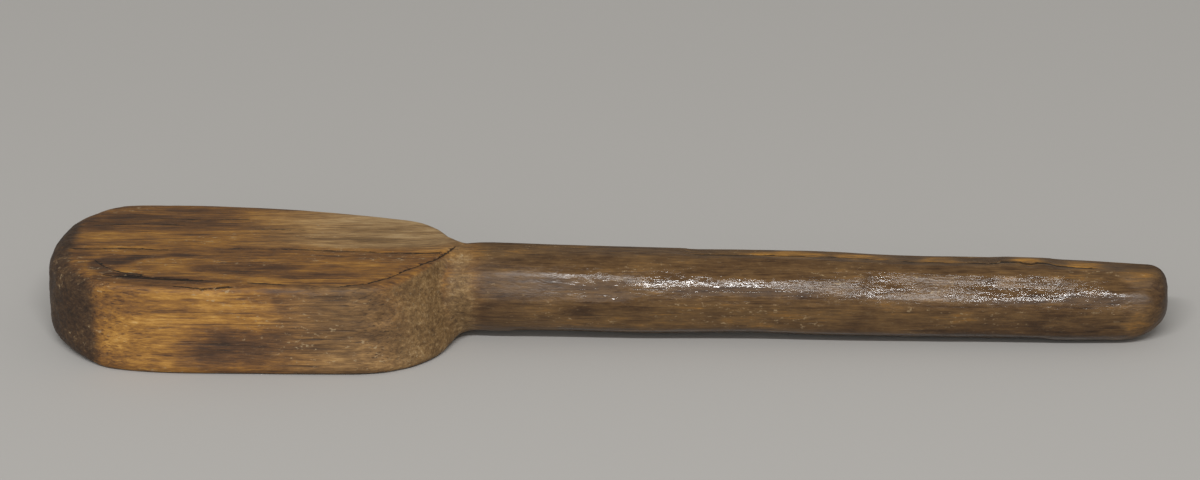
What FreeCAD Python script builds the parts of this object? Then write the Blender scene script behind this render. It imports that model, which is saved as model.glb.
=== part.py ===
import FreeCAD, Part
import math
import os
import Sketcher

# A small one-piece carved paddle, lying flat. X runs from the blade to the grip's free end,
# Z is up, and the origin is under the middle of the piece, on the surface that it lies on.
# The features follow the maker's order: saw the plan, saw the side elevation, ease the edges,
# shave the shaft, hollow the neck and round the tip. "near" is the -Y side, "far" the +Y side.

DIMENSIONS = {
    "total_length": 240,
    "blade_length": 88,
    "blade_width": 49.2,
    "blade_thickness": 20,
    "wall_lean": 7,
    "neck_half_width": 4,
    "near_shoulder_run": 8.5,
    "far_shoulder_run": 20,
    "far_shoulder_half_width": 21.5,
    "far_taper_run": 43,
    "near_nose_corner": 21,
    "far_nose_corner": 15,
    "near_shoulder_corner": 12,
    "far_shoulder_corner": 24,
    "far_taper_corner": 60,
    "nose_radius": 6.5,
    "nose_overhang": 0.8,
    "heel_run": 7,
    "heel_rise": 4.3,
    "crown_drop": 2,
    "edge_radius": 1.6,
    "neck_burial": 14,
    "neck_buried_diameter": 15,
    "shaft_root_diameter": 18.9,
    "shaft_middle_diameter": 18.2,
    "shaft_tip_diameter": 16.6,
    "shaft_root_height": 10.5,
    "shaft_tip_height": 8.3,
    "neck_radius": 3,
    "tip_radius": 3.2,
}

CUT_MARGIN = 5
MATCH_TOLERANCE = 0.1

doc = FreeCAD.newDocument("carved_paddle")
sheet = doc.addObject("Spreadsheet::Sheet", "Dimensions")
for row, (alias, value) in enumerate(DIMENSIONS.items(), start=1):
    sheet.set(f"A{row}", alias)
    sheet.set(f"B{row}", str(value))
    sheet.setAlias(f"B{row}", alias)
doc.recompute()

body = doc.addObject("PartDesign::Body", "Paddle")
body.Label = "paddle"


class Size:
    """A length from the sheet: the expression that drives it, and its value for a first drawing."""

    def __init__(self, expression, value):
        self.expression = expression
        self.value = value

    def __add__(self, other):
        other = as_size(other)
        return Size(f"({self.expression} + {other.expression})", self.value + other.value)

    def __sub__(self, other):
        other = as_size(other)
        return Size(f"({self.expression} - {other.expression})", self.value - other.value)

    def __mul__(self, other):
        other = as_size(other)
        return Size(f"({self.expression} * {other.expression})", self.value * other.value)

    def __truediv__(self, other):
        other = as_size(other)
        return Size(f"({self.expression} / {other.expression})", self.value / other.value)

    def __neg__(self):
        return self * -1


def as_size(number):
    return number if isinstance(number, Size) else Size(str(number), float(number))


def size(alias):
    return Size(f"<<Dimensions>>.{alias}", float(sheet.get(alias)))


def add_sketch(name, role):
    """A sketch on one of the body's origin planes."""
    plane = next(item for item in body.Origin.OriginFeatures if item.Role == role)
    sketch = body.newObject("Sketcher::SketchObject", name)
    sketch.AttachmentSupport = [(plane, "")]
    sketch.MapMode = "FlatFace"
    return sketch


def constrain(sketch, kind, references, length):
    """Add one dimension to a sketch and tie it to the sheet."""
    index = sketch.addConstraint(Sketcher.Constraint(kind, *references, length.value))
    sketch.setExpression(f"Constraints[{index}]", length.expression)


def add_outline(sketch, corners):
    """A closed outline through corners, each (across, up, radius) in sizes from the sketch's origin.

    A corner whose radius is None stays sharp."""
    first = sketch.GeometryCount
    count = len(corners)
    points = [FreeCAD.Vector(across.value, up.value, 0) for across, up, _ in corners]
    for edge in range(count):
        sketch.addGeometry(Part.LineSegment(points[edge], points[(edge + 1) % count]))
    for edge in range(count):
        following = first + (edge + 1) % count
        sketch.addConstraint(Sketcher.Constraint("Coincident", first + edge, 2, following, 1))
    # Rounding a corner adds its arc and then a point that keeps the corner's place.
    anchors = []
    for edge, (_, _, radius) in enumerate(corners):
        if radius is None:
            anchors.append(first + edge)
        else:
            anchors.append(sketch.GeometryCount + 1)
            sketch.fillet(first + (edge - 1) % count, 2, radius.value, 1, True)
    for anchor, (across, up, radius) in zip(anchors, corners):
        constrain(sketch, "DistanceX", (-1, 1, anchor, 1), across)
        constrain(sketch, "DistanceY", (-1, 1, anchor, 1), up)
        if radius is not None:
            constrain(sketch, "Radius", (anchor - 1,), radius)


def add_fillet(name, base, radius, wanted):
    """Round every edge of a feature that passes the test wanted(edge)."""
    doc.recompute()
    edges = [
        f"Edge{number}"
        for number, edge in enumerate(base.Shape.Edges, start=1)
        if wanted(edge)
    ]
    fillet = body.newObject("PartDesign::Fillet", name)
    fillet.Base = (base, edges)
    fillet.setExpression("Radius", radius.expression)
    return fillet


left_end = -size("total_length") / 2
tip = size("total_length") / 2
root = left_end + size("blade_length")
half_width = size("blade_width") / 2
thickness = size("blade_thickness")
floor = as_size(0)

# The blade's plan at its underside. Its walls lean in as they rise, so the nose starts
# a little outside the blade's end and the side elevation trims it to length.
plan_end = left_end - size("nose_overhang")
far_shoulder = root - size("far_shoulder_run")
plan = add_sketch("BladePlan", "XY_Plane")
add_outline(
    plan,
    [
        (plan_end, -half_width, size("near_nose_corner")),
        (root - size("near_shoulder_run"), -half_width, size("near_shoulder_corner")),
        (root, -size("neck_half_width"), None),
        (root, size("neck_half_width"), None),
        (far_shoulder, size("far_shoulder_half_width"), size("far_shoulder_corner")),
        (root - size("far_taper_run"), half_width, size("far_taper_corner")),
        (plan_end, half_width, size("far_nose_corner")),
    ],
)
blade = body.newObject("PartDesign::Pad", "Blade")
blade.Profile = plan
blade.setExpression("Length", thickness.expression)
blade.setExpression("TaperAngle", (-size("wall_lean")).expression)

# The side elevation: all outside it is cut away. It rounds the nose over and under, and
# slopes the blade's last stretch down and up so that its end hides inside the neck.
behind = left_end - CUT_MARGIN
inside = root + CUT_MARGIN
beyond = inside + CUT_MARGIN
heel = root - size("heel_run")
elevation = add_sketch("BladeElevation", "XZ_Plane")
add_outline(
    elevation,
    [
        (behind, floor - CUT_MARGIN, None),
        (beyond, floor - CUT_MARGIN, None),
        (beyond, thickness + CUT_MARGIN, None),
        (behind, thickness + CUT_MARGIN, None),
    ],
)
add_outline(
    elevation,
    [
        (left_end, floor, size("nose_radius")),
        (heel, floor, None),
        (inside, size("heel_rise"), None),
        (inside, thickness - size("crown_drop"), None),
        (heel, thickness, None),
        (left_end, thickness, size("nose_radius")),
    ],
)
sawn = body.newObject("PartDesign::Pocket", "SawnBlade")
sawn.Profile = elevation
sawn.Type = "ThroughAll"
sawn.SideType = "Symmetric"
add_fillet("EasedBlade", sawn, size("edge_radius"), lambda edge: True)

# The shaft: round sections on an axis that falls from the neck to the tip, which rests on
# the floor. A cone carries the shaft's root into the blade.
buried = root - size("neck_burial")
fall = (size("shaft_root_height") - size("shaft_tip_height")) / (tip - root)


def axis_height(station):
    return size("shaft_root_height") - fall * (station - root)


def shaft_section(name, station, diameter):
    """A round section across the shaft, centred on its axis."""
    height = axis_height(station)
    centre = FreeCAD.Vector(0, height.value, 0)
    section = add_sketch(name, "YZ_Plane")
    section.setExpression("AttachmentOffset.Base.z", station.expression)
    circle = section.addGeometry(Part.Circle(centre, FreeCAD.Vector(0, 0, 1), diameter.value / 2))
    section.addConstraint(Sketcher.Constraint("PointOnObject", circle, 3, -2))
    constrain(section, "DistanceY", (-1, 1, circle, 3), height)
    constrain(section, "Diameter", (circle,), diameter)
    return section


def add_loft(name, sections, ruled):
    loft = body.newObject("PartDesign::AdditiveLoft", name)
    loft.Profile = sections[0]
    loft.Sections = sections[1:]
    loft.Ruled = ruled
    return loft


add_loft(
    "Neck",
    [
        shaft_section("NeckBuried", buried, size("neck_buried_diameter")),
        shaft_section("NeckEnd", root, size("shaft_root_diameter")),
    ],
    ruled=True,
)
shaft = add_loft(
    "Shaft",
    [
        shaft_section("ShaftRoot", root, size("shaft_root_diameter")),
        shaft_section("ShaftMiddle", (root + tip) / 2, size("shaft_middle_diameter")),
        shaft_section("ShaftTip", tip, size("shaft_tip_diameter")),
    ],
    ruled=False,
)


def on_neck(edge):
    """Whether an edge lies on the neck's cone, where the shoulders run into it."""
    first, last = edge.ParameterRange
    return all(touches_cone(edge.valueAt(first + (last - first) * share)) for share in (0, 0.5, 1))


def touches_cone(point):
    share = (point.x - buried.value) / size("neck_burial").value
    buried_diameter = size("neck_buried_diameter").value
    diameter = buried_diameter + (size("shaft_root_diameter").value - buried_diameter) * share
    distance = math.hypot(point.y, point.z - axis_height(as_size(point.x)).value)
    on_surface = abs(distance - diameter / 2) < MATCH_TOLERANCE
    return on_surface and buried.value < point.x < root.value - MATCH_TOLERANCE


def at_tip(edge):
    return edge.BoundBox.XMin > tip.value - MATCH_TOLERANCE


hollowed = add_fillet("HollowedNeck", shaft, size("neck_radius"), on_neck)
add_fillet("RoundedTip", hollowed, size("tip_radius"), at_tip)
doc.recompute()

SUBPARTS = [body]
for item in doc.Objects:
    if {"Invalid", "Error"} & set(item.State):
        raise SystemExit(f"{item.Name} did not recompute: {item.State}")
for part in SUBPARTS:
    if part.Shape.isNull() or not part.Shape.isValid() or len(part.Shape.Solids) != 1:
        raise SystemExit(f"{part.Label} is not one valid solid")

os.makedirs("parts", exist_ok=True)
for part in SUBPARTS:
    part.Shape.exportStep(f"parts/{part.Label}.step")
    box = part.Shape.optimalBoundingBox()
    print(f"{part.Label}: {part.Shape.Volume / 1000:.1f} cm3, box {box}")
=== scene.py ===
import math

import bpy
import numpy as np
from mathutils import Matrix, Vector


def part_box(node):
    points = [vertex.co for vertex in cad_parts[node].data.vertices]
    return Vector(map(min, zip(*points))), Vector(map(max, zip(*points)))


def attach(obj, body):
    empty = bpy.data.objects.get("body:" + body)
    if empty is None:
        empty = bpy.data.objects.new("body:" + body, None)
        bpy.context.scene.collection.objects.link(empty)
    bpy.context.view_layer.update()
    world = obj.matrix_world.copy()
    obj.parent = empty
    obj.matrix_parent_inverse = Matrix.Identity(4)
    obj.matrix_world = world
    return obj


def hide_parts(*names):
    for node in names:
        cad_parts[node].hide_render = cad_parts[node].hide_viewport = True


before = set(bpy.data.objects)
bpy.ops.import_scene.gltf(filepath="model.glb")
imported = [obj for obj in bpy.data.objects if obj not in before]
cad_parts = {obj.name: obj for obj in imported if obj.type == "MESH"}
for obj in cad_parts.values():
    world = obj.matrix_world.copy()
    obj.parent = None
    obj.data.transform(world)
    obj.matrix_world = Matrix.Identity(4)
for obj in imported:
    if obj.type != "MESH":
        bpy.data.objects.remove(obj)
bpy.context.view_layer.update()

# An old carved wooden paddle: thick round-nosed blade, square near shoulder, sloping far
# shoulder and a knife-shaved round grip. The shape is worked out in millimetres from the
# CAD box and turned into metres when the mesh is made. Near is -Y and far is +Y.

MM = 0.001
low, high = (np.array(corner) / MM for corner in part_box("paddle"))
NOSE_X, TIP_X = low[0], high[0]
HALF_WIDTH = (high[1] - low[1]) / 2
THICKNESS = high[2] - low[2]
NECK_X = NOSE_X + 88.0


# ---------------------------------------------------------------- numbers and noise


def mix(a, b, share):
    return a + (b - a) * share


def ramp(value, start, end):
    """0 before start, 1 after end and a smooth rise between; start may be the larger."""
    share = np.clip((value - start) / (end - start), 0, 1)
    return share * share * (3 - 2 * share)


class Noise:
    """Smooth gradient noise from -1 to 1, repeatable from its seed."""

    def __init__(self, seed):
        random = np.random.default_rng(seed)
        self.order = random.permutation(256)
        arrows = random.normal(size=(256, 3))
        self.arrows = arrows / np.linalg.norm(arrows, axis=1, keepdims=True)

    def corner(self, cell):
        order = self.order
        return order[(order[(order[cell[:, 0] & 255] + cell[:, 1]) & 255] + cell[:, 2]) & 255]

    def __call__(self, points, wavelength):
        """Noise at points, where wavelength is one length or three, along X, Y and Z."""
        scaled = points / np.asarray(wavelength, float)
        cell = np.floor(scaled).astype(int)
        inside = scaled - cell
        fade = inside**3 * (inside * (inside * 6 - 15) + 10)
        total = np.zeros(len(points))
        for offset in np.ndindex(2, 2, 2):
            offset = np.array(offset)
            arrow = self.arrows[self.corner(cell + offset)]
            weight = np.prod(np.where(offset == 1, fade, 1 - fade), axis=1)
            total += weight * np.sum((inside - offset) * arrow, axis=1)
        return total * 1.6

    def layered(self, points, wavelength, layers=3):
        """Several layers of noise, each half the size and half the strength of the last."""
        wavelength = np.asarray(wavelength, float)
        total = sum(self(points + 37.0 * k, wavelength / 2**k) / 2**k for k in range(layers))
        return total / (2 - 2.0 ** (1 - layers))


# ---------------------------------------------------------------- the carved form


def round_meet(a, b, radius, turn=90):
    """Distance outside what lies inside both surfaces, whose shared edge turns by turn degrees."""
    half_turn = math.radians(turn) / 2
    blend = 1.1 * radius * math.tan(half_turn) * math.sin(2 * half_turn)
    overlap = np.maximum(blend - np.abs(a - b), 0)
    return np.maximum(a, b) + overlap**2 / (4 * blend)


def round_join(a, b, radius):
    """Distance outside what lies inside either surface, with a hollow fillet between them."""
    return -round_meet(-a, -b, radius)


def wall(x, y, z, foot, heading, lean):
    """Distance outside a flat wall through foot on the floor, facing heading, leaning back by lean."""
    heading = math.radians(heading)
    lean = math.radians(lean)
    outward = (x - foot[0]) * math.cos(heading) + (y - foot[1]) * math.sin(heading)
    return outward * math.cos(lean) + z * math.sin(lean)


# Millimetres, and degrees for headings and leans. Each wall's foot stands on the floor: the
# long walls' at the blade's middle, the shoulders' where they meet the grip's axis. Most of the
# values are rounded results of fitting this shape to the photo's outline in a separate script.
SHAPE = {
    "near_foot": 23.9,
    "near_heading": -90.0,
    "near_lean": 8.5,
    "near_shoulder_foot": NECK_X + 3.7,
    "near_shoulder_heading": -24.7,
    "near_shoulder_lean": 10.7,
    "near_corner": 19.0,
    "far_foot": HALF_WIDTH + 0.05,
    "far_lean": 4.0,
    "far_taper_foot": HALF_WIDTH + 2.0,
    "far_taper_heading": 73.0,
    "far_bend": 120.0,
    "far_shoulder_foot": NECK_X + 3.3,
    "far_shoulder_heading": 25.0,
    "far_shoulder_lean": 7.0,
    "far_corner": 14.5,
    "nose_bulge": 46.0,
    "nose_middle": -0.5,
    "nose_near_corner": 27.0,
    "nose_far_corner": 14.5,
    "nose_lean": 0.5,
    "nose_top_edge": 4.6,
    "nose_under_edge": 5.2,
    "nose_reach": 15.0,
    "heel_start": NECK_X - 4,
    "heel_end": NECK_X + 6.5,
    "heel_rise": 4.2,
    "top_edge": 1.3,
    "under_edge": 1.8,
}


def blade_plan(x, y, z):
    """Distance outside the blade's walls, as seen from above."""
    middle = (NOSE_X + NECK_X) / 2
    near = wall(x, y, z, (middle, -SHAPE["near_foot"]), SHAPE["near_heading"], SHAPE["near_lean"])
    near_shoulder = wall(
        x,
        y,
        z,
        (SHAPE["near_shoulder_foot"], 0),
        SHAPE["near_shoulder_heading"],
        SHAPE["near_shoulder_lean"],
    )
    far = wall(x, y, z, (middle, SHAPE["far_foot"]), 90, SHAPE["far_lean"])
    far_taper = wall(
        x, y, z, (middle, SHAPE["far_taper_foot"]), SHAPE["far_taper_heading"], SHAPE["far_lean"]
    )
    far_shoulder = wall(
        x,
        y,
        z,
        (SHAPE["far_shoulder_foot"], 0),
        SHAPE["far_shoulder_heading"],
        SHAPE["far_shoulder_lean"],
    )
    bulge = SHAPE["nose_bulge"]
    behind = np.minimum(x - NOSE_X - bulge, 0)
    nose = np.hypot(behind, y - SHAPE["nose_middle"]) - bulge
    nose += (z - THICKNESS / 2) * math.tan(math.radians(SHAPE["nose_lean"]))
    near_side = round_meet(near, near_shoulder, SHAPE["near_corner"], 67)
    near_side = round_meet(near_side, nose, SHAPE["nose_near_corner"], 70)
    far_side = round_meet(far, far_taper, SHAPE["far_bend"], 20)
    far_side = round_meet(far_side, far_shoulder, SHAPE["far_corner"], 48)
    far_side = round_meet(far_side, nose, SHAPE["nose_far_corner"], 65)
    return np.maximum(near_side, far_side)


def blade(x, y, z):
    """Distance outside the blade: its plan, a faint ridge along the top and a flat underside."""
    ridge = THICKNESS - 0.1
    top = z - ridge + 0.033 * (np.hypot(y, 2.0) - 2.0)
    heel = ramp(x, SHAPE["heel_start"], SHAPE["heel_end"]) * SHAPE["heel_rise"]
    under = heel - z
    nose_share = ramp(x, NOSE_X + SHAPE["nose_reach"], NOSE_X + 4)
    plan = blade_plan(x, y, z)
    body = round_meet(plan, top, mix(SHAPE["top_edge"], SHAPE["nose_top_edge"], nose_share))
    return round_meet(body, under, mix(SHAPE["under_edge"], SHAPE["nose_under_edge"], nose_share))


# The grip was shaved by hand, so it swells and bows a little: how far along from the blade,
# its radius there and the height of its middle. From 0 to 152 the rows are rounded results of
# a second fit to that outline, so they are a fitted table, not worked out from driving sizes.
GRIP = (
    (-14, 5.5, 10.7),
    (-6, 7.6, 10.7),
    (0, 9.5, 10.7),
    (22, 9.3, 10.3),
    (40, 9.3, 9.8),
    (60, 9.1, 10.0),
    (80, 9.2, 9.6),
    (96, 8.9, 9.0),
    (110, 8.9, 8.9),
    (124, 8.8, 8.7),
    (139, 8.5, 8.3),
    (152, 7.8, 8.2),
)


def along_grip(x, column):
    """A column of GRIP at x, with the steps between its rows smoothed over."""
    places, *columns = zip(*GRIP)
    spread = np.linspace(-7, 7, 7)
    samples = [np.interp(x - NECK_X + shift, places, columns[column]) for shift in spread]
    return np.mean(samples, axis=0)


def grip_radius(x):
    return along_grip(x, 0)


def axis_height(x):
    return along_grip(x, 1)


# Long flats that the knife left on the grip: start and end along it from the blade, the
# direction each one faces (0 is far, 90 up, 180 near) and how deep it cuts into the round.
FLATS = (
    (46, 119, 79, 0.85),
    (124, 152, 82, 0.7),
    (2, 42, 155, 0.35),
    (50, 84, 120, 0.3),
    (84, 134, 140, 0.45),
    (136, 152, 128, 0.3),
    (20, 150, 196, 0.4),
    (5, 70, 35, 0.35),
    (60, 150, 20, 0.4),
    (10, 120, 340, 0.4),
    (30, 152, 300, 0.4),
    (8, 130, 240, 0.35),
)


# Each flat runs out over this length at its ends, where it lifts clear of the round by this much.
FLAT_RUN_OUT = 5.0
FLAT_LIFT = 1.2


def shaft(x, y, z):
    """Distance outside the grip: a round taper, shaved into long flats, with a worn tip."""
    up = z - axis_height(x)
    radius = grip_radius(x)
    round_part = np.hypot(y, up) - radius
    for start, end, facing, depth in FLATS:
        facing = math.radians(facing)
        outward = y * math.cos(facing) + up * math.sin(facing)
        begun = ramp(x, NECK_X + start, NECK_X + start + FLAT_RUN_OUT)
        going_on = ramp(x, NECK_X + end, NECK_X + end - FLAT_RUN_OUT)
        flat = outward - radius + depth - FLAT_LIFT * (1 - begun * going_on)
        round_part = round_meet(round_part, flat, 1.0, 40)
    tip = x - TIP_X + 0.004 * (y * y + up * up)
    butt = NECK_X - 14 - x
    rounded = round_meet(round_part, tip, mix(9.5, 4.2, ramp(up, -7, 5)))
    return np.maximum(round_meet(rounded, -z, 1.0), butt)


# Small knocks and dents: middle, radius and depth.
CHIPS = (
    ((-55.0, 22.5, 20.0), 3.2, 0.5),
    ((-97.0, 25.0, 19.5), 3.0, 0.4),
    ((-60.5, -20.8, 19.5), 2.2, 0.4),
    ((-83.0, -21.5, 19.2), 3.0, 0.35),
    ((-46.0, -21.5, 12.0), 2.5, 0.3),
    ((117.5, -5.5, 13.5), 2.5, 0.5),
    ((90.5, -1.0, 17.5), 2.0, 0.35),
    ((-118.0, -8.0, 15.0), 3.0, 0.4),
)


def form(points):
    """Distance outside the whole carving."""
    x, y, z = points.T
    joined = round_join(blade(x, y, z), shaft(x, y, z), 3.0)
    return np.maximum(joined, -z)


# ---------------------------------------------------------------- the mesh

# Points round each ring, the half width of the ring of rays inside the grip, and the two places
# on the axis that the end rings' rays fan out from.
ROUND = 320
GRIP_GUIDE = 9.0
AXIS_MIDDLE = THICKNESS / 2
NOSE_CENTRE = NOSE_X + 15
TIP_CENTRE = TIP_X - 6


def rings():
    """Each ring's place along the axis and how far its rays fan towards -X or +X, nose to tip."""
    found = [(NOSE_CENTRE, angle) for angle in np.linspace(-90, 0, 62)[1:-1]]
    plain = np.concatenate(
        [
            np.arange(NOSE_CENTRE, NECK_X - 20, 1.05),
            np.arange(NECK_X - 20, NECK_X + 6, 0.42),
            np.arange(NECK_X + 6, TIP_CENTRE, 1.3),
        ]
    )
    found += [(place, 0) for place in plain]
    found += [(TIP_CENTRE, angle) for angle in np.linspace(0, 90, 25)[1:-1]]
    return found


def guide_ring(place, fan):
    """Ray starts and directions for one ring: even steps round a rounded box or a circle."""
    flat = ramp(place, NECK_X + 2, NECK_X - 24)
    half_width = mix(GRIP_GUIDE, HALF_WIDTH, flat)
    half_height = mix(GRIP_GUIDE, AXIS_MIDDLE, flat)
    power = mix(1.0, 0.42, flat)
    turn = np.linspace(0, 2 * math.pi, 2400, endpoint=False) - math.pi / 2
    wide = half_width * np.sign(np.cos(turn)) * np.abs(np.cos(turn)) ** power
    tall = half_height * np.sign(np.sin(turn)) * np.abs(np.sin(turn)) ** power
    steps = np.hypot(np.diff(wide, append=wide[0]), np.diff(tall, append=tall[0]))
    walked = np.concatenate([[0], np.cumsum(steps)])
    even = np.linspace(0, walked[-1], ROUND, endpoint=False)
    wide = np.interp(even, walked, np.append(wide, wide[0]))
    tall = np.interp(even, walked, np.append(tall, tall[0]))
    inner = wide * (1 - half_height / half_width)
    angle = math.radians(fan)
    start_y = inner * math.cos(angle)
    height = mix(axis_height(place), AXIS_MIDDLE, flat)
    start = np.stack([np.full(ROUND, place), start_y, np.full(ROUND, height)], axis=1)
    reach = np.hypot(wide - inner, tall)
    along = reach * math.sin(angle)
    across = (wide - inner) * math.cos(angle)
    rise = tall * math.cos(angle)
    way = np.stack([along, across, rise], axis=1)
    return start, way / np.linalg.norm(way, axis=1, keepdims=True)


def cast(start, way, reach=60.0, halvings=26):
    """Where rays from inside the form leave it."""
    near = np.zeros(len(start))
    far = np.full(len(start), reach)
    for _ in range(halvings):
        middle = (near + far) / 2
        outside = form(start + way * middle[:, None]) > 0
        far = np.where(outside, middle, far)
        near = np.where(outside, near, middle)
    return start + way * far[:, None]


def slope(points, step=0.05):
    """The form's outward direction at points."""
    gradient = np.stack(
        [
            form(points + step * np.eye(3)[axis]) - form(points - step * np.eye(3)[axis])
            for axis in range(3)
        ],
        axis=1,
    )
    return gradient / np.linalg.norm(gradient, axis=1, keepdims=True)


def grid_faces(ring_count):
    """Quads between neighbouring rings, then triangles to the nose and tip points."""
    ring = np.arange(ring_count - 1)[:, None] * ROUND
    step = np.arange(ROUND)[None, :]
    following = (step + 1) % ROUND
    quads = np.stack(
        [ring + step, ring + ROUND + step, ring + ROUND + following, ring + following], axis=-1
    ).reshape(-1, 4)
    nose = ring_count * ROUND
    tip = nose + 1
    last = (ring_count - 1) * ROUND
    around = np.arange(ROUND)
    ahead = (around + 1) % ROUND
    nose_fan = np.stack([np.full(ROUND, nose), around, ahead], axis=1)
    tip_fan = np.stack([np.full(ROUND, tip), last + ahead, last + around], axis=1)
    return quads.tolist() + nose_fan.tolist() + tip_fan.tolist()


def carve():
    """The carved surface's points and faces."""
    made = [guide_ring(place, fan) for place, fan in rings()]
    start = np.concatenate([ring[0] for ring in made])
    way = np.concatenate([ring[1] for ring in made])
    ends = np.array([[NOSE_CENTRE, 0, AXIS_MIDDLE], [TIP_CENTRE, 0, axis_height(TIP_X)]])
    start = np.concatenate([start, ends])
    way = np.concatenate([way, [[-1, 0, 0], [1, 0, 0]]])
    points = cast(start, way)
    return points, grid_faces(len(made))


# ---------------------------------------------------------------- colour and relief, by place

# Cracks and dark seams in the upper side, as joined (x, y) points: line, width and depth. Where
# the photo shows them, a separate script turned their places in it into millimetres.
CRACKS = (
    ([(-105.5, -15.4), (-99, -16.3), (-93, -17.2), (-85, -17.5)], 0.40, 0.25),
    ([(-108.5, -9), (-106.5, -11.5), (-102.5, -14.2), (-98.5, -15.1)], 0.25, 0.1),
    ([(-114, -2.6), (-105, -2.2), (-95, -2.8)], 0.22, 0.1),
    ([(-80, -1.9), (-68, -2.3), (-58, -2.8)], 0.14, 0.0),
    ([(-62, -2.6), (-52, -2.9), (-42, -3.6), (-36, -3.4)], 0.18, 0.15),
    ([(-90, -20.4), (-85, -20.7), (-79, -20.4)], 0.20, 0.1),
    ([(-74, -18.8), (-67, -19.5)], 0.2, 0.1),
    ([(-55, -19.8), (-49.5, -18.0), (-45.5, -15.2)], 0.22, 0.15),
    ([(-45.5, -15.2), (-42.5, -11.8), (-39.5, -9.4), (-36.0, -6.0), (-32.8, -1.6)], 0.20, 0.30),
    ([(-100, 14.5), (-88, 13.8), (-79, 14.2)], 0.16, 0.0),
    ([(-111, 10.5), (-101, 11.2), (-93, 10.8)], 0.18, 0.0),
    ([(-76, 8.5), (-66, 8.2)], 0.14, 0.0),
    ([(-30, 2.5), (-14, 2.2)], 0.16, 0.0),
    ([(20, 0.5), (44, 0.2), (60, 0.4)], 0.40, 0.2),
    ([(64, -0.2), (84, -0.6), (104, -0.8)], 0.36, 0.2),
)

# Dark stains and other dark patches, and bright patches: middle, half sizes along X, Y and Z, and
# strength.
DARK_PATCHES = (
    ((-104.5, -8.5, 20), (3.5, 2.6, 9), 0.9),
    ((-97.5, -11.2, 20), (3.5, 1.5, 9), 0.8),
    ((-92, -5.6, 20), (5, 1.2, 6), 0.7),
    ((-77, -11.5, 20), (13, 2.8, 9), 0.85),
    ((-108, -17.0, 18), (4, 2.5, 3), 0.6),
    ((-96, 15.5, 20), (19, 6.5, 12), 0.60),
    ((-110, 14.0, 20), (7, 7.0, 12), 0.7),
    ((-66, -14.5, 20), (12, 1.8, 6), 0.5),
    ((-48, -5.5, 20), (17, 2.4, 5), 0.45),
    ((-79, -23, 5.5), (12, 6, 5), 0.95),
    ((-64, -23, 7), (10, 6, 3), 0.5),
    ((-60, -23, 13), (9, 6, 3), 0.35),
    ((-54, -22, 9), (22, 7, 12), 0.75),
    ((-94, -18.5, 19), (14, 2.2, 2.0), 0.6),
    ((-113, -12, 9), (5, 16, 14), 0.9),
    ((-46, 8, 20), (14, 2.0, 5), 0.15),
    # This one makes the grip darker on its near underside, low down by the floor, towards the tip.
    ((88, -6, 2), (28, 5, 7), 1.0),
    ((118.5, -1, 10), (4, 8, 6), 0.7),
    ((-88, -17.6, 20), (12, 1.2, 3), 0.5),
)
BRIGHT_PATCHES = (
    ((-100, 3.2, 20), (15, 3.4, 5), 0.45),
    ((-76, 2.0, 20), (20, 3.0, 5), 0.5),
    ((-95, -21, 9), (12, 6, 9), 1.0),
    ((-78, -22, 14), (14, 6, 4.5), 0.75),
    ((-66, -23, 3), (22, 6, 2.5), 0.45),
    ((-94, -11.5, 20), (8, 1.6, 5), 0.5),
    ((-62, -17.5, 20), (20, 1.8, 3), 0.5),
    ((-58, 14, 20), (24, 6, 5), 0.6),
    ((39, 1.5, 18), (9, 3.2, 4), 1.6),
    ((55, 1.5, 18), (7, 3.0, 4), 1.5),
    ((71, 1.2, 17.5), (5, 3.0, 4), 1.5),
    ((90, 0.5, 17), (4, 3.0, 4), 1.4),
    ((102, 0.5, 16.5), (6, 3.0, 4), 1.3),
    ((114.0, -3, 15.5), (4.0, 4, 3), 0.65),
    ((113.5, -7.5, 5.5), (2.8, 4, 4), 0.9),
)

# The rough hollow where the near shoulder runs into the grip.
NECK_HOLLOW = (((NECK_X + 1.0, -3, 9), (4.2, 12, 12), 1.0),)


def beside(x, y, start, end):
    """Distances in plan from a segment's line, to its left, and beyond its ends."""
    span = np.subtract(end, start)
    length = math.hypot(*span)
    along = ((x - start[0]) * span[0] + (y - start[1]) * span[1]) / length
    aside = ((y - start[1]) * span[0] - (x - start[0]) * span[1]) / length
    return aside, np.maximum(np.maximum(-along, along - length), 0)


# Further than any crack's mark reaches.
WELL_AWAY = 9.0


def crack_marks(points):
    """Distance to the left of the nearest crack, that crack's width, and how deep the wood is cut."""
    x, y, z = points.T
    wander = Noise(11).layered(points, (8, 60, 60)) * 0.4
    nearest = np.full(len(points), WELL_AWAY)
    left_of = np.full(len(points), WELL_AWAY)
    width_near = np.zeros(len(points))
    depth = np.zeros(len(points))
    for line, width, deepest in CRACKS:
        for start, end in zip(line, line[1:]):
            aside, beyond = beside(x, y + wander, start, end)
            away = np.hypot(aside, beyond) + WELL_AWAY * (z < THICKNESS / 2)
            closer = away < nearest
            nearest = np.where(closer, away, nearest)
            left_of = np.where(closer, aside, left_of)
            faded = width * ramp(beyond, 1.5, 0) * ramp(away, 1.6, 1.0)
            width_near = np.where(closer, faded, width_near)
            depth = np.maximum(depth, deepest * ramp(away, 0.9, 0.1))
    return left_of, width_near, depth


def patches(points, places, ragged):
    """Soft-edged patches whose borders are pulled along the grain."""
    total = np.zeros(len(points))
    for middle, size, strength in places:
        away = np.linalg.norm((points - middle) / size, axis=1)
        total = np.maximum(total, strength * ramp(away + ragged, 1.25, 0.55))
    return total


def growth_loop(points):
    """The dark end of a growth ring that the flat top cuts through, near the nose."""
    x, y, z = points.T
    away = np.hypot((x + 89) / 18.5, (y + 11.4) / 5.6) + Noise(8)(points, (6, 3, 3)) * 0.12
    ring = ramp(np.abs(away - 1), 0.24, 0.06)
    return ring * ramp(x, -78, -100) * ramp(z, 15, 18)


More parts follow.
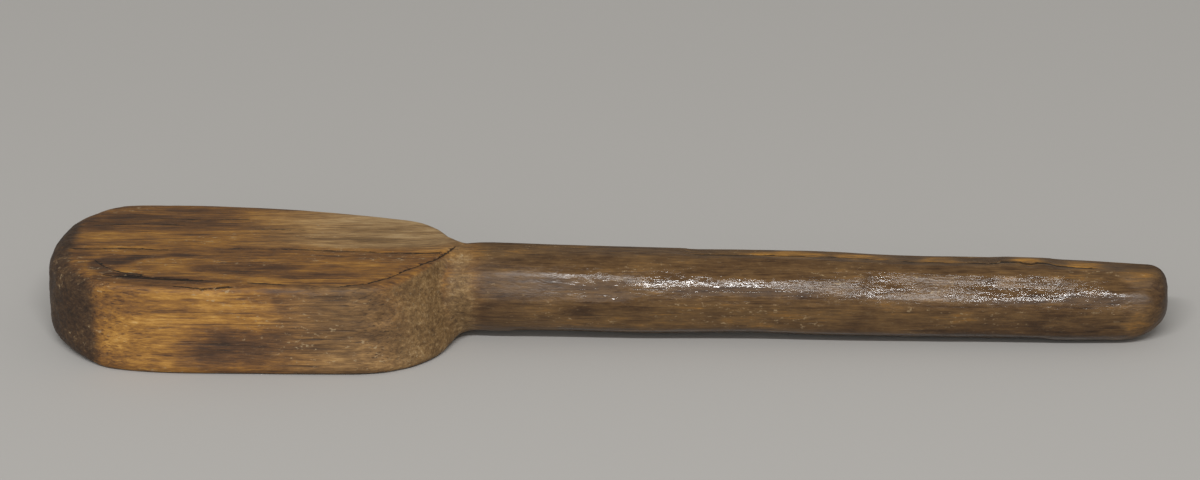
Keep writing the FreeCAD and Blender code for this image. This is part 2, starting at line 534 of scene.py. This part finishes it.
def dress(points, normals):
    """Relief along the normals and the masks that colour the wood, point by point."""
    x, y, z = points.T
    blade_share = ramp(x, NECK_X + 4, NECK_X - 4)
    end_facing = np.abs(normals[:, 0])
    swell = Noise(1).layered(points, (38, 14, 14)) * mix(0.16, 0.28, blade_share)
    ridges = Noise(2).layered(points, (22, 2.6, 2.6)) * 0.10
    ridges += Noise(7).layered(points, (13, 5, 5)) * 0.11 * (1 - blade_share)
    fibres = Noise(3)(points, (9, 1.1, 1.1)) * mix(0.012, 0.035, blade_share)
    saw_marks = Noise(4).layered(points, (2.2, 2.2, 2.2)) * 0.12 * ramp(end_facing, 0.3, 0.8)
    left_of, crack_width, depth = crack_marks(points)
    relief = swell + ridges + fibres + saw_marks - depth
    for middle, radius, deepest in CHIPS:
        away = np.linalg.norm(points - middle, axis=1) / radius
        relief -= deepest * ramp(away, 1.0, 0.2)
    ragged = Noise(5).layered(points, (14, 2.4, 2.4)) * 0.45
    ragged += Noise(6)(points, (5, 1.2, 1.2)) * 0.12
    nose_reach = NOSE_X + 5.5 + 6.5 * ramp(y, -9, -20)
    nose_band = ramp(x - nose_reach + 2.5 * ragged, 1.2, -1.2)
    shoulder = ramp(normals[:, 0] + 0.2 * ragged, 0.3, 0.7) * ramp(x, NECK_X - 20, NECK_X - 12)
    shoulder = 0.85 * shoulder * ramp(x, NECK_X + 12, NECK_X + 5)
    hollow = patches(points, NECK_HOLLOW, ragged * 0.5)
    grey_top = ramp(y + 3 * ragged, -3.5, 1.0) * ramp(x + 8 * ragged, -85, -45)
    grey_wall = 0.6 * ramp(y, -18.5, -20.5) * ramp(x + 8 * ragged, -76, -52)
    masks = {
        "crack_side": left_of,
        "crack_width": crack_width,
        "dark": np.maximum(patches(points, DARK_PATCHES, ragged), 1.4 * growth_loop(points)),
        "bright": patches(points, BRIGHT_PATCHES, ragged),
        "nose": nose_band,
        "shoulder": np.maximum(shoulder, hollow),
        "grip": ramp(x + 2.0 * ragged, NECK_X + 1, NECK_X + 7),
        "polish": ramp(x, NECK_X + 2, NECK_X + 38) * ramp(x, TIP_X - 3, TIP_X - 13),
        "glint": ramp(x, NECK_X + 66, NECK_X + 88),
        "far_side": ramp(normals[:, 1], -0.25, 0.25),
        "tip": ramp(normals[:, 0], 0.55, 0.85) * ramp(x, TIP_X - 8, TIP_X - 3),
        "grey": np.maximum(grey_top, grey_wall) * blade_share,
    }
    return relief, masks


def make_paddle():
    """The carved surface as one object, with its masks as attributes for the material."""
    points, faces = carve()
    normals = slope(points)
    relief, masks = dress(points, normals)
    points = points + normals * relief[:, None]
    points[:, 2] = np.maximum(points[:, 2], 0.0)
    mesh = bpy.data.meshes.new("paddle_wood")
    mesh.from_pydata((points * MM).tolist(), [], faces)
    mesh.validate()
    mesh.shade_smooth()
    for name, values in masks.items():
        layer = mesh.attributes.new(name, "FLOAT", "POINT")
        layer.data.foreach_set("value", values.astype(np.float32))
    paddle = bpy.data.objects.new("paddle_wood", mesh)
    bpy.context.collection.objects.link(paddle)
    return paddle


# ---------------------------------------------------------------- the wood


def colour(red, green, blue):
    return (red, green, blue, 1.0)


class Wood:
    """Builds a material's nodes; sockets go in and come out of each method."""

    def __init__(self, name):
        self.material = bpy.data.materials.new(name)
        self.material.use_nodes = True
        self.tree = self.material.node_tree
        self.shader = self.tree.nodes["Principled BSDF"]
        self.place = self.add("ShaderNodeTexCoord").outputs["Object"]

    def add(self, kind, **settings):
        node = self.tree.nodes.new(kind)
        for name, value in settings.items():
            setattr(node, name, value)
        return node

    def feed(self, socket, value):
        if isinstance(value, bpy.types.NodeSocket):
            self.tree.links.new(value, socket)
        else:
            socket.default_value = value

    def mask(self, name):
        return self.add("ShaderNodeAttribute", attribute_name=name).outputs["Fac"]

    def noise(self, size, detail=3.0, roughness=0.55, distortion=0.0, shift=0.0):
        """Noise from 0 to 1 whose features have the given size in millimetres along X, Y and Z."""
        mapping = self.add("ShaderNodeMapping")
        self.feed(mapping.inputs["Vector"], self.place)
        mapping.inputs["Location"].default_value = (shift, shift, shift)
        mapping.inputs["Scale"].default_value = [1 / (length * MM) for length in size]
        noise = self.add("ShaderNodeTexNoise")
        self.feed(noise.inputs["Vector"], mapping.outputs["Vector"])
        noise.inputs["Scale"].default_value = 1.0
        noise.inputs["Detail"].default_value = detail
        noise.inputs["Roughness"].default_value = roughness
        noise.inputs["Distortion"].default_value = distortion
        return noise.outputs["Fac"]

    def ramp(self, value, start, end, low=0.0, high=1.0):
        """value's stretch from start to end, moved smoothly to low and high."""
        node = self.add("ShaderNodeMapRange", interpolation_type="SMOOTHSTEP")
        self.feed(node.inputs["Value"], value)
        node.inputs["From Min"].default_value = start
        node.inputs["From Max"].default_value = end
        node.inputs["To Min"].default_value = low
        node.inputs["To Max"].default_value = high
        return node.outputs["Result"]

    def math(self, operation, a, b=0.0):
        node = self.add("ShaderNodeMath", operation=operation)
        self.feed(node.inputs[0], a)
        self.feed(node.inputs[1], b)
        return node.outputs[0]

    def times(self, a, b):
        return self.math("MULTIPLY", a, b)

    def plus(self, a, b):
        return self.math("ADD", a, b)

    def blend(self, share, a, b):
        """Colour a where share is 0 and b where it is 1; a Mix node has its colours at 6, 7 and 2."""
        node = self.add("ShaderNodeMix", data_type="RGBA")
        self.feed(node.inputs["Factor"], share)
        self.feed(node.inputs[6], a)
        self.feed(node.inputs[7], b)
        return node.outputs[2]

    def between(self, share, a, b):
        """Number a where share is 0 and b where it is 1; a Mix node has its numbers at 2, 3 and 0."""
        node = self.add("ShaderNodeMix", data_type="FLOAT")
        self.feed(node.inputs["Factor"], share)
        self.feed(node.inputs[2], a)
        self.feed(node.inputs[3], b)
        return node.outputs[0]

    def swing(self, noise, strength):
        """Noise moved to either side of 0."""
        return self.times(self.math("SUBTRACT", noise, 0.5), strength)

    def total(self, *parts):
        together = parts[0]
        for part in parts[1:]:
            together = self.plus(together, part)
        return together

    def palette(self, value, tones):
        """The colour that value reaches among tones, which are (place, colour) from 0 to 1."""
        node = self.add("ShaderNodeValToRGB")
        self.feed(node.inputs["Fac"], value)
        stops = node.color_ramp.elements
        while len(stops) < len(tones):
            stops.new(0.5)
        for stop, (place, shade) in zip(stops, tones):
            stop.position = place
            stop.color = shade
        return node.outputs["Color"]


# Bare wood from its darkest stain to its brightest wear, by share of the way up.
BLADE_TONES = (
    (0.00, colour(0.020, 0.011, 0.006)),
    (0.22, colour(0.055, 0.026, 0.012)),
    (0.38, colour(0.105, 0.048, 0.017)),
    (0.50, colour(0.170, 0.077, 0.022)),
    (0.64, colour(0.268, 0.124, 0.026)),
    (0.80, colour(0.420, 0.210, 0.043)),
    (1.00, colour(0.580, 0.350, 0.120)),
)
GREY_TONES = (
    (0.00, colour(0.022, 0.013, 0.007)),
    (0.30, colour(0.085, 0.048, 0.020)),
    (0.50, colour(0.165, 0.096, 0.038)),
    (0.65, colour(0.245, 0.150, 0.062)),
    (0.82, colour(0.370, 0.245, 0.115)),
    (1.00, colour(0.520, 0.390, 0.220)),
)
GRIP_TONES = (
    (0.00, colour(0.020, 0.011, 0.006)),
    (0.25, colour(0.055, 0.028, 0.012)),
    (0.45, colour(0.098, 0.052, 0.020)),
    (0.62, colour(0.145, 0.080, 0.030)),
    (0.78, colour(0.222, 0.110, 0.028)),
    (1.00, colour(0.450, 0.220, 0.040)),
)
NOSE_TONES = (
    (0.00, colour(0.016, 0.009, 0.005)),
    (0.40, colour(0.046, 0.024, 0.012)),
    (0.65, colour(0.082, 0.045, 0.020)),
    (1.00, colour(0.200, 0.120, 0.055)),
)
DUST = colour(0.400, 0.290, 0.160)
CRACK = colour(0.010, 0.006, 0.003)


def aged_wood():
    """Old wood: streaked grain, stains, crumbly ends, dust, cracks and a handled grip."""
    wood = Wood("aged_wood")
    swing, total, mask, times = wood.swing, wood.total, wood.mask, wood.times
    streaks = wood.noise((46, 4.0, 4.0), detail=5, roughness=0.62, distortion=0.5)
    cloud = wood.noise((17, 6, 6), detail=5, roughness=0.6, shift=5.3)
    blotch = wood.noise((6.5, 2.6, 2.6), detail=4, roughness=0.65, shift=6.1)
    grain = wood.noise((10, 1.0, 1.0), detail=4, roughness=0.7, shift=3.1)
    fibre = wood.noise((4.2, 0.42, 0.42), detail=3, roughness=0.75, shift=7.7)
    lines = wood.noise((22, 0.42, 0.42), detail=2, roughness=0.5, distortion=0.3, shift=2.3)
    speck = wood.noise((1.5, 0.75, 0.75), detail=3, roughness=0.75, shift=9.2)
    crumbs = wood.noise((1.0, 0.8, 0.8), detail=4, roughness=0.8, shift=1.7)
    wobble = wood.noise((3.2, 1.1, 1.1), detail=2, roughness=0.6, distortion=0.6, shift=4.4)

    # Colour of the bare blade, of its greyed half, of the grip and of the crumbly end grain.
    fine = total(swing(grain, 0.55), swing(fibre, 0.70))
    blade_tone = total(0.55, swing(streaks, 0.50), swing(cloud, 0.56), swing(blotch, 0.35), fine)
    blade_tone = total(blade_tone, times(mask("bright"), 0.17))
    blade_tone = total(blade_tone, times(mask("dark"), -0.22))
    blade_tone = total(blade_tone, wood.ramp(lines, 0.58, 0.68, 0.0, -0.20))
    base = wood.palette(blade_tone, BLADE_TONES)
    greyed = wood.palette(total(blade_tone, 0.18), GREY_TONES)
    base = wood.blend(times(mask("grey"), 0.8), base, greyed)

    grip_tone = total(0.50, swing(streaks, 0.25), swing(cloud, 0.62), swing(blotch, 0.70), fine)
    grip_tone = total(grip_tone, times(mask("bright"), 0.24))
    grip_tone = total(grip_tone, times(mask("dark"), -0.18))
    grip_tone = total(grip_tone, wood.ramp(lines, 0.58, 0.68, 0.0, -0.16))
    base = wood.blend(mask("grip"), base, wood.palette(grip_tone, GRIP_TONES))

    crumbly = total(0.58, swing(crumbs, 1.15), swing(grain, 0.6), swing(cloud, 0.7))
    base = wood.blend(mask("shoulder"), base, wood.palette(crumbly, GREY_TONES))
    base = wood.blend(mask("nose"), base, wood.palette(total(crumbly, fine, -0.14), NOSE_TONES))
    base = wood.blend(times(mask("tip"), 0.8), base, wood.palette(crumbly, NOSE_TONES))

    # Pale dust caught in the pores, then the cracks.
    dusty = wood.plus(wood.ramp(cloud, 0.5, 0.62, 0.1, 0.8), times(mask("shoulder"), 0.5))
    dust = times(wood.ramp(speck, 0.59, 0.66, 0.0, 0.8), dusty)
    base = wood.blend(dust, base, DUST)

    gap = wood.math("ABSOLUTE", total(mask("crack_side"), swing(fibre, 0.9), swing(speck, 0.6)))
    width = times(mask("crack_width"), wood.ramp(grain, 0.38, 0.55, 0.25, 1.2))
    inside = wood.ramp(wood.math("SUBTRACT", width, gap), -0.08, 0.12)
    crack = times(inside, wood.ramp(mask("crack_width"), 0.02, 0.1, 0.0, 0.9))
    base = wood.blend(crack, base, CRACK)
    wood.feed(wood.shader.inputs["Base Color"], base)

    # The blade is dull. Hands have polished the middle of the grip, and its far side less.
    blade_rough = wood.ramp(fibre, 0.3, 0.7, 0.50, 0.75)
    grip_rough = wood.ramp(total(cloud, swing(speck, 0.4)), 0.40, 0.66, 0.10, 0.28)
    bare = times(mask("bright"), 0.35)
    dulled = wood.math("MAXIMUM", bare, times(mask("far_side"), 0.5))
    unhandled = wood.ramp(mask("polish"), 0.0, 1.0, 0.35, 0.0)
    rough = wood.between(mask("grip"), blade_rough, total(grip_rough, dulled, unhandled))
    wood.feed(wood.shader.inputs["Roughness"], rough)
    wood.shader.inputs["Specular IOR Level"].default_value = 0.34

    # Fine relief: grain and pores, smoothed on the grip, where a slight wobble breaks up the shine.
    height = total(times(grain, 0.55), times(fibre, 0.25), times(speck, 0.30))
    height = total(height, times(times(crumbs, mask("shoulder")), 1.2))
    height = total(height, wood.ramp(lines, 0.60, 0.72, 0.0, -0.25), times(crack, -1.0))
    handled = wood.ramp(grip_rough, 0.12, 0.28, 0.80, 0.55)
    height = times(height, wood.math("SUBTRACT", 1.0, times(mask("grip"), handled)))
    glints = total(times(wobble, 0.48), times(mask("glint"), times(speck, 0.28)))
    height = total(height, times(mask("grip"), glints))
    bump = wood.add("ShaderNodeBump")
    bump.inputs["Distance"].default_value = 0.22 * MM
    bump.inputs["Strength"].default_value = 0.9
    wood.feed(bump.inputs["Height"], height)
    wood.feed(wood.shader.inputs["Normal"], bump.outputs["Normal"])
    return wood.material


paddle = make_paddle()
paddle.data.materials.append(aged_wood())
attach(paddle, "root")
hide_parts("paddle")


# ---------------------------------------------------------------- floor, light and camera

FLOOR_RADIUS = 6.0
FLOOR_DROP = 0.00005
FLOOR_COLOUR = colour(0.500, 0.487, 0.466)
BACKDROP = colour(0.315, 0.309, 0.297)


def make_floor():
    """A wide round floor, smooth and pale."""
    sides = 96
    turns = [2 * math.pi * k / sides for k in range(sides)]
    rim = [(FLOOR_RADIUS * math.cos(t), FLOOR_RADIUS * math.sin(t), -FLOOR_DROP) for t in turns]
    mesh = bpy.data.meshes.new("floor")
    mesh.from_pydata(rim, [], [tuple(range(sides))])
    floor = bpy.data.objects.new("floor", mesh)
    bpy.context.collection.objects.link(floor)
    material = bpy.data.materials.new("floor_paper")
    material.use_nodes = True
    shader = material.node_tree.nodes["Principled BSDF"]
    shader.inputs["Base Color"].default_value = FLOOR_COLOUR
    shader.inputs["Roughness"].default_value = 0.9
    shader.inputs["Specular IOR Level"].default_value = 0.1
    mesh.materials.append(material)
    return floor


def make_light(name, place, size, power):
    """A rectangular area light of size (across, up) that faces the object."""
    lamp = bpy.data.lights.new(name, "AREA")
    lamp.shape = "RECTANGLE"
    lamp.size, lamp.size_y = size
    lamp.energy = power
    light = bpy.data.objects.new(name, lamp)
    light.location = place
    light.rotation_euler = (Vector((0, 0, 0)) - Vector(place)).to_track_quat("-Z", "Y").to_euler()
    bpy.context.collection.objects.link(light)


make_floor()
make_light("soft_front", (-0.3, -1.7, 1.0), (2.4, 1.3), 10.5)
make_light("strip", (0.0, -1.45, 1.38), (1.2, 0.055), 24.0)

world = bpy.data.worlds.new("studio")
world.use_nodes = True
background = world.node_tree.nodes["Background"]
background.inputs["Color"].default_value = BACKDROP
background.inputs["Strength"].default_value = 1.0
bpy.context.scene.world = world
bpy.context.scene.view_settings.view_transform = "Standard"

# The camera stands 1.5 m away, a little right of the paddle's middle and looking down at it.
# Its own right-hand direction runs one degree off the paddle's length. Its place and lens were
# worked out from the rule in the photo, which was taken to be 25 mm wide.
CAMERA_PLACE = Vector((0.0960, -1.3391, 0.6244))
AIM = Vector((-0.0031, 0.0259, 0.0100))
ACROSS = Vector((0.99984, 0.01815, 0.0))
forward = (AIM - CAMERA_PLACE).normalized()
right = (ACROSS - forward * ACROSS.dot(forward)).normalized()
upward = right.cross(forward)
lens = bpy.data.cameras.new("photo")
lens.sensor_width = 36.0
lens.lens = 206.3
lens.clip_start = 0.05
camera = bpy.data.objects.new("photo", lens)
turn = Matrix((right, upward, -forward)).transposed()
camera.matrix_world = Matrix.Translation(CAMERA_PLACE) @ turn.to_4x4()
bpy.context.collection.objects.link(camera)
bpy.context.scene.camera = camera
